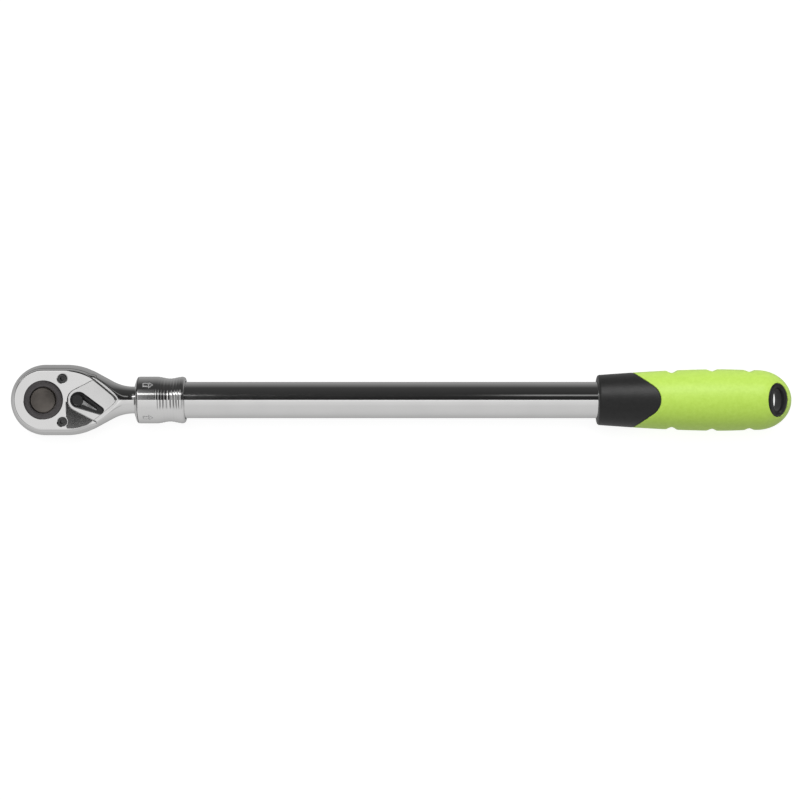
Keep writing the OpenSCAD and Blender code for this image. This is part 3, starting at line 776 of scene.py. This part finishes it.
def coil(name, foot, axis, radius, wire, length, turns):
    """A round-wire spring that starts at foot and winds along axis."""
    axis = np.array(axis, float)
    side = np.cross(axis, (0, 0, 1) if abs(axis[2]) < 0.9 else (0, 1, 0))
    side /= np.linalg.norm(side)
    other = np.cross(axis, side)
    steps_per_turn, sides = 36, 14
    steps = round(turns * steps_per_turn)
    along = np.repeat(np.arange(steps + 1) / steps, sides)
    turn = 2 * math.pi * turns * along
    section = np.tile(2 * math.pi * np.arange(sides) / sides, steps + 1)
    out = radius + wire / 2 * np.cos(section)
    rise = length * along + wire / 2 * np.sin(section)
    points = (np.array(foot) + np.outer(out * np.cos(turn), side)
              + np.outer(out * np.sin(turn), other) + np.outer(rise, axis))
    faces = [tuple(range(sides)), tuple(range(steps * sides + sides - 1, steps * sides - 1, -1))]
    for i in range(steps):
        for k in range(sides):
            a, b = i * sides + k, i * sides + (k + 1) % sides
            faces.append((a, a + sides, b + sides, b))
    return mesh_piece(name, points, faces, sharp=40)


def build_springs():
    """The three springs, each wound at one fixed length, given its finish and hung on its body."""
    lean = math.pi - LEVER_ANGLE
    plunger = np.array([math.cos(lean), math.sin(lean), 0])
    pivot = np.array([LEVER_X, 0, PLUNGER_Z])
    for node, name, body, joint, foot, axis, size, travel, far in (
            ("release_spring", "release_coil", "drive", "button_press", (0, 0, 20.6), (0, 0, 1),
             (4.1, 0.9, 9.9, 5.5), 3, False),
            ("pawl_spring", "plunger_coil", "lever", "plunger_slide", pivot - 2.35 * plunger,
             plunger, (0.85, 0.35, 3.6, 5), 0.6, False),
            ("collar_spring", "collar_coil", "handle", "collar_slide", (69, 0, AXIS_Z), (1, 0, 0),
             (11.02, 0.78, 10.5, 4), 6, True)):
        radius, wire, length, turns = size
        piece = coil(name, foot, axis, radius, wire, length, turns)
        settle(piece, node, body)
        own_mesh(piece)


def carry_over():
    """Gives every CAD node that still shows its finished material."""
    for node, piece in frame["nodes"].items():
        if not piece.hide_render:
            piece.data.materials.clear()
            piece.data.materials.append(MATERIALS[SLOTS[node]])


# ---- Floor, light and camera ----

CAMERA_X = 214.1
CAMERA_UP = 1200
FIELD_WIDE = 484
SENSOR = 36


def clear_from_below(paint):
    """Lets a view from underneath see through the floor."""
    nodes, links = paint.tree.nodes, paint.tree.links
    end = next(n for n in nodes if n.type == "OUTPUT_MATERIAL")
    either = nodes.new("ShaderNodeMixShader")
    links.new(nodes.new("ShaderNodeNewGeometry").outputs["Backfacing"], either.inputs[0])
    links.new(paint.shader.outputs[0], either.inputs[1])
    links.new(nodes.new("ShaderNodeBsdfTransparent").outputs[0], either.inputs[2])
    links.new(either.outputs[0], end.inputs["Surface"])


def build_floor():
    work = bmesh.new()
    bmesh.ops.create_grid(work, x_segments=4, y_segments=4, size=4)
    mesh = bpy.data.meshes.new("floor")
    work.to_mesh(mesh)
    work.free()
    floor = bpy.data.objects.new("floor", mesh)
    floor.location = (CAMERA_X * MM, 0, -0.0005)
    bpy.context.scene.collection.objects.link(floor)
    paint = Paint("floor_paper", Roughness=0.9)
    paint.link(paint.ramp(paint.noise(6, 2), [(0.3, (0.26, 0.26, 0.26)), (0.7, (0.28, 0.28, 0.28))]),
               "Base Color")
    sockets(paint.shader, {"Emission Color": (1, 1, 1, 1), "Emission Strength": 0.86})
    clear_from_below(paint)
    floor.data.materials.append(paint.material)
    floor.visible_glossy = False


def build_world():
    """A pale studio: a dark screen overhead on the +Y side, white card on the -Y side."""
    world = bpy.data.worlds.new("studio")
    world.use_nodes = True
    bpy.context.scene.world = world
    tree = world.node_tree
    tree.nodes.clear()

    def node(kind, inputs=(), **settings):
        made = tree.nodes.new(kind)
        for key, value in settings.items():
            setattr(made, key, value)
        for index, value in enumerate(inputs):
            if isinstance(value, bpy.types.NodeSocket):
                tree.links.new(value, made.inputs[index])
            elif value is not None:
                made.inputs[index].default_value = value
        return made

    def math_of(operation, a, b):
        return node("ShaderNodeMath", (a, b), operation=operation).outputs[0]

    def between(value, low, high):
        """A smooth rise from 0 at low to 1 at high."""
        return node("ShaderNodeMapRange", (value, low, high, 0.0, 1.0),
                    interpolation_type="SMOOTHSTEP").outputs[0]

    def by_height(stops):
        """A shade that goes by the ray's slope, from -1 straight down to 1 straight up."""
        up = node("ShaderNodeMapRange", (axis[2], -1.0, 1.0, 0.0, 1.0)).outputs[0]
        ramp = node("ShaderNodeValToRGB", (up,))
        places = [(height + 1) / 2 for height, _ in stops]
        set_stops(ramp.color_ramp, places, [(value, value, value) for _, value in stops])
        return ramp.outputs[0]

    def mix(factor, low, high):
        return node("ShaderNodeMix", (factor, None, low, high), data_type="FLOAT").outputs[0]

    axis = node("ShaderNodeSeparateXYZ", (node("ShaderNodeTexCoord").outputs["Generated"],)).outputs

    # The white card, darker where it is high up and well to either end.
    card_side = by_height([(-1, 0.36), (-0.7, 0.5), (-0.2, 0.6), (0.1, 0.64), (0.8, 0.68),
                           (0.985, 0.77), (1, 0.98)])
    turned = math_of("ADD", between(axis[0], 0.28, 0.42), between(axis[0], -0.3, -0.44))
    turned = math_of("MULTIPLY", math_of("MULTIPLY", turned, between(axis[2], 0.5, 0.7)), 0.75)
    card_side = math_of("MULTIPLY", card_side, math_of("SUBTRACT", 1.0, turned))

    # The dark screen: a sharp edge overhead, where it also ends towards -X, and a soft one low down.
    screen_side = by_height([(-1, 0.3), (-0.8, 0.37), (-0.2, 0.16), (0.1, 0.06), (0.9, 0.03),
                             (1, 0.018)])
    high_edge = math_of("MULTIPLY", between(axis[1], 0.0, 0.01), between(axis[0], -0.143, -0.131))
    low_edge = math_of("MULTIPLY", between(axis[1], -0.1, 0.6), between(axis[2], 0.8, 0.5))
    shade = mix(math_of("MAXIMUM", high_edge, low_edge), card_side, screen_side)

    # A bright strip in the screen, which only surfaces that lean along the handle reflect.
    strip = math_of("MULTIPLY", between(axis[1], 0.4, 0.44), between(axis[1], 0.58, 0.54))
    strip = math_of("MULTIPLY", strip, between(axis[2], 0.3, 0.5))
    ends = math_of("ADD", math_of("MULTIPLY", between(axis[0], -0.117, -0.124), 1.4),
                   math_of("MULTIPLY", between(axis[0], 0.04, 0.07), 0.25))
    shade = math_of("ADD", shade, math_of("MULTIPLY", strip, ends))

    # Matt surfaces get an even light, and the camera sees a plain backdrop.
    rays = node("ShaderNodeLightPath").outputs
    shade = mix(rays["Is Diffuse Ray"], shade, 0.36)
    shade = mix(rays["Is Camera Ray"], shade, 0.93)
    tone = node("ShaderNodeCombineColor", (shade, shade, shade))
    sky = node("ShaderNodeBackground", (tone.outputs[0], 1.0))
    tree.links.new(sky.outputs[0], node("ShaderNodeOutputWorld").inputs[0])


def build_lights():
    """One lamp for everything, which chrome does not reflect, and one each for grip and lever alone."""
    linked = {"grips": ("grip_front", "grip_cover", "grip_inner"), "levers": ("lever",)}
    groups = {}
    for key, names in linked.items():
        groups[key] = bpy.data.collections.new(key + "_lit")
        for name in names:
            groups[key].objects.link(bpy.data.objects[name])
    for name, place, size, power, targets in (
            ("lamp_top", (0.2, 0.55, 2.0), 1.2, 20, None),
            ("lamp_grip", (0.46, 0.75, 0.85), 0.5, 7.7, "grips"),
            ("lamp_lever", (-0.22, -0.48, 0.3), 0.3, 2.2, "levers")):
        light = bpy.data.lights.new(name, "AREA")
        light.shape = "SQUARE"
        light.size = size
        light.energy = power
        lamp = bpy.data.objects.new(name, light)
        lamp.location = place
        aim = np.array([0.3, 0.0, 0.0]) - np.array(place)
        lamp.rotation_euler = (math.atan2(np.hypot(aim[0], aim[1]), -aim[2]), 0,
                               math.atan2(aim[1], aim[0]) - math.pi / 2)
        lamp.visible_glossy = targets is not None
        if targets is not None:
            lamp.light_linking.receiver_collection = groups[targets]
        bpy.context.scene.collection.objects.link(lamp)


def build_camera():
    data = bpy.data.cameras.new("camera")
    data.sensor_width = SENSOR
    data.lens = SENSOR * CAMERA_UP / FIELD_WIDE
    data.clip_end = 20
    camera = bpy.data.objects.new("camera", data)
    camera.location = (CAMERA_X * MM, 0, (AXIS_Z + CAMERA_UP) * MM)
    bpy.context.scene.collection.objects.link(camera)
    bpy.context.scene.camera = camera


build_camera()
build_head()
build_handle()
build_springs()
carry_over()
build_floor()
build_world()
build_lights()
bpy.context.scene.view_settings.view_transform = "Standard"
